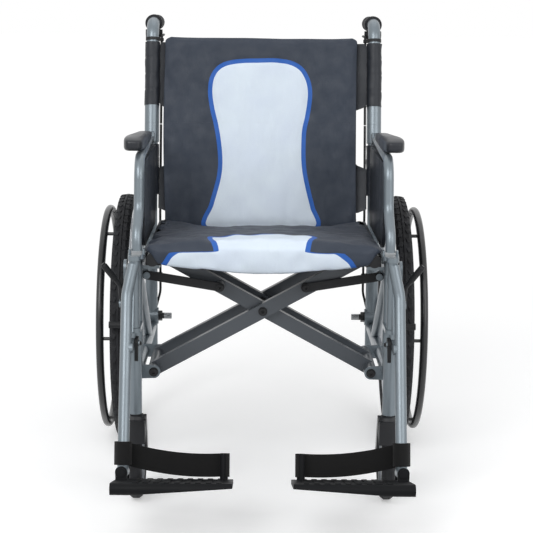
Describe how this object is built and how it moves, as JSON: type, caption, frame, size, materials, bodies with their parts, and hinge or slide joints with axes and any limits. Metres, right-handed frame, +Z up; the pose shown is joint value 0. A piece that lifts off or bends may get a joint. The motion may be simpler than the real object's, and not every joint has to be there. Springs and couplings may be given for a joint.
{
  "type": "self-propelled folding wheelchair",
  "caption": "Self-propelled folding wheelchair with cross-brace, flip-up arms, swing-away leg rests, attendant brakes and half-folding back.",
  "frame": {"origin": "middle of the footprint, on the floor", "axes": "-Y to the front, +X to the user's left, +Z up"},
  "size_m": [0.6472, 0.9878, 0.8741],
  "materials": {
    "frame": "satin metallic grey",
    "cross": "satin dark grey",
    "steel": "satin",
    "alloy": "satin",
    "plastic": "matte",
    "tyre": "matte",
    "push_rim": "satin black",
    "cloth_black": "woven",
    "cloth_slate": "woven"
  },
  "bodies": {
    "frame_right": {"frame_right": "frame", "plastics_right": "plastic", "axle_right": "steel", "pins_right": "steel", "cable_lower_right": "plastic", "back_sling_lower": "cloth_black", "back_pad_lower": "cloth_slate"},
    "frame_left": {"frame_left": "frame", "plastics_left": "plastic", "axle_left": "steel", "pins_left": "steel", "cable_lower_left": "plastic"},
    "cross_outer": {"cross_outer": "cross", "cross_bolts": "plastic", "rail_caps_left": "plastic"},
    "cross_inner": {"cross_inner": "cross", "rail_caps_right": "plastic"},
    "seat": {"seat_sling": "cloth_black", "seat_cushion": "cloth_slate"},
    "guide_link_right": {"guide_link_right": "plastic"},
    "wheel_right": {"tyre_right": "tyre", "rim_right": "alloy", "push_rim_right": "push_rim"},
    "fork_right": {"fork_right": "cross"},
    "caster_right": {"caster_tyre_right": "tyre", "caster_hub_right": "alloy"},
    "leg_rest_right": {"hanger_right": "frame", "heel_strap_right": "cloth_black"},
    "latch_right": {"latch_right": "plastic"},
    "foot_plate_right": {"foot_plate_right": "plastic"},
    "arm_right": {"arm_tube_right": "frame", "arm_pad_right": "plastic", "side_guard_right": "plastic"},
    "parking_brake_right": {"brake_lever_right": "plastic"},
    "upper_back_right": {"upper_cane_right": "frame", "push_grip_right": "plastic", "cable_upper_right": "plastic", "back_sling_upper": "cloth_black", "back_pad_upper": "cloth_slate"},
    "attendant_lever_right": {"attendant_lever_right": "steel"},
    "guide_link_left": {"guide_link_left": "plastic"},
    "wheel_left": {"tyre_left": "tyre", "rim_left": "alloy", "push_rim_left": "push_rim"},
    "fork_left": {"fork_left": "cross"},
    "caster_left": {"caster_tyre_left": "tyre", "caster_hub_left": "alloy"},
    "leg_rest_left": {"hanger_left": "frame", "heel_strap_left": "cloth_black"},
    "latch_left": {"latch_left": "plastic"},
    "foot_plate_left": {"foot_plate_left": "plastic"},
    "arm_left": {"arm_tube_left": "frame", "arm_pad_left": "plastic", "side_guard_left": "plastic"},
    "parking_brake_left": {"brake_lever_left": "plastic"},
    "upper_back_left": {"upper_cane_left": "frame", "push_grip_left": "plastic", "cable_upper_left": "plastic"},
    "attendant_lever_left": {"attendant_lever_left": "steel"}
  },
  "joints": [
    {"name": "fold", "type": "hinge", "parent": "frame_right", "child": "cross_outer", "pos_m": [-0.2, -0.06013, 0.232], "axis": [0, -1, 0], "range_deg": [0, 51], "deforming": ["seat_sling", "seat_cushion", "back_sling_lower", "back_pad_lower", "back_sling_upper", "back_pad_upper"]},
    {"name": "cross_turn", "type": "hinge", "parent": "cross_outer", "child": "cross_inner", "pos_m": [0, -0.06013, 0.342], "axis": [0, -1, 0], "range_deg": [-102, 0]},
    {"name": "frame_turn", "type": "hinge", "parent": "cross_inner", "child": "frame_left", "pos_m": [0.2, -0.06013, 0.232], "axis": [0, -1, 0], "range_deg": [0, 51]},
    {"name": "seat_rise", "type": "slide", "parent": "frame_right", "child": "seat", "axis": [0, 0, 1], "range_m": [0, 0.231]},
    {"name": "link_turn_right", "type": "hinge", "parent": "frame_right", "child": "guide_link_right", "pos_m": [-0.213, -0.13413, 0.41], "axis": [0, -1, 0], "range_deg": [0, 85]},
    {"name": "wheel_roll_right", "type": "hinge", "parent": "frame_right", "child": "wheel_right", "pos_m": [-0.279, 0.23987, 0.254], "axis": [1, 0, 0], "continuous": true},
    {"name": "caster_swivel_right", "type": "hinge", "parent": "frame_right", "child": "fork_right", "pos_m": [-0.23, -0.21013, 0.168], "axis": [0, 0, 1], "continuous": true},
    {"name": "caster_roll_right", "type": "hinge", "parent": "fork_right", "child": "caster_right", "pos_m": [-0.23, -0.17213, 0.0745], "axis": [1, 0, 0], "continuous": true},
    {"name": "leg_rest_swing_right", "type": "hinge", "parent": "frame_right", "child": "leg_rest_right", "pos_m": [-0.228, -0.23613, 0.4], "axis": [0, 0, -1], "range_deg": [0, 90]},
    {"name": "latch_turn_right", "type": "hinge", "parent": "leg_rest_right", "child": "latch_right", "pos_m": [-0.224, -0.24613, 0.308], "axis": [1, 0, 0], "range_deg": [0, 25]},
    {"name": "foot_plate_flip_right", "type": "hinge", "parent": "leg_rest_right", "child": "foot_plate_right", "pos_m": [-0.24, -0.37013, 0.111], "axis": [0, -0.9659, 0.2588], "range_deg": [0, 88], "deforming": ["heel_strap_right"]},
    {"name": "arm_flip_right", "type": "hinge", "parent": "frame_right", "child": "arm_right", "pos_m": [-0.233, 0.23388, 0.63], "axis": [-1, 0, 0], "range_deg": [0, 90]},
    {"name": "parking_brake_turn_right", "type": "hinge", "parent": "frame_right", "child": "parking_brake_right", "pos_m": [-0.262, -0.11213, 0.352], "axis": [1, 0, 0], "range_deg": [0, 12]},
    {"name": "back_fold_right", "type": "hinge", "parent": "frame_right", "child": "upper_back_right", "pos_m": [-0.23, 0.30007, 0.64743], "axis": [-1, 0, 0], "range_deg": [0, 95]},
    {"name": "attendant_brake_right", "type": "hinge", "parent": "upper_back_right", "child": "attendant_lever_right", "pos_m": [-0.23, 0.36192, 0.832], "axis": [1, 0, 0], "range_deg": [0, 8], "stiffness_Nm_per_rad": 1.5, "springref_deg": -5.73},
    {"name": "link_turn_left", "type": "hinge", "parent": "frame_left", "child": "guide_link_left", "pos_m": [0.213, -0.13413, 0.41], "axis": [0, 1, 0], "range_deg": [0, 85]},
    {"name": "wheel_roll_left", "type": "hinge", "parent": "frame_left", "child": "wheel_left", "pos_m": [0.279, 0.23987, 0.254], "axis": [1, 0, 0], "continuous": true},
    {"name": "caster_swivel_left", "type": "hinge", "parent": "frame_left", "child": "fork_left", "pos_m": [0.23, -0.21013, 0.168], "axis": [0, 0, 1], "continuous": true},
    {"name": "caster_roll_left", "type": "hinge", "parent": "fork_left", "child": "caster_left", "pos_m": [0.23, -0.17213, 0.0745], "axis": [1, 0, 0], "continuous": true},
    {"name": "leg_rest_swing_left", "type": "hinge", "parent": "frame_left", "child": "leg_rest_left", "pos_m": [0.228, -0.23613, 0.4], "axis": [0, 0, 1], "range_deg": [0, 90]},
    {"name": "latch_turn_left", "type": "hinge", "parent": "leg_rest_left", "child": "latch_left", "pos_m": [0.224, -0.24613, 0.308], "axis": [1, 0, 0], "range_deg": [0, 25]},
    {"name": "foot_plate_flip_left", "type": "hinge", "parent": "leg_rest_left", "child": "foot_plate_left", "pos_m": [0.24, -0.37013, 0.111], "axis": [0, 0.9659, -0.2588], "range_deg": [0, 88], "deforming": ["heel_strap_left"]},
    {"name": "arm_flip_left", "type": "hinge", "parent": "frame_left", "child": "arm_left", "pos_m": [0.233, 0.23388, 0.63], "axis": [-1, 0, 0], "range_deg": [0, 90]},
    {"name": "parking_brake_turn_left", "type": "hinge", "parent": "frame_left", "child": "parking_brake_left", "pos_m": [0.262, -0.11213, 0.352], "axis": [1, 0, 0], "range_deg": [0, 12]},
    {"name": "back_fold_left", "type": "hinge", "parent": "frame_left", "child": "upper_back_left", "pos_m": [0.23, 0.30007, 0.64743], "axis": [-1, 0, 0], "range_deg": [0, 95]},
    {"name": "attendant_brake_left", "type": "hinge", "parent": "upper_back_left", "child": "attendant_lever_left", "pos_m": [0.23, 0.36192, 0.832], "axis": [1, 0, 0], "range_deg": [0, 8], "stiffness_Nm_per_rad": 1.5, "springref_deg": -5.73}
  ],
  "couplings": [
    {"joint": "cross_turn", "follows": "fold", "ratio": -2},
    {"joint": "frame_turn", "follows": "fold", "ratio": 1},
    {"joint": "seat_rise", "follows": "fold", "m_per_rad": 0.2579},
    {"joint": "link_turn_right", "follows": "fold", "ratio": 1.65},
    {"joint": "foot_plate_flip_right", "follows": "fold", "ratio": 1.7},
    {"joint": "link_turn_left", "follows": "fold", "ratio": 1.65},
    {"joint": "foot_plate_flip_left", "follows": "fold", "ratio": 1.7},
    {"joint": "back_fold_left", "follows": "back_fold_right", "ratio": 1}
  ]
}
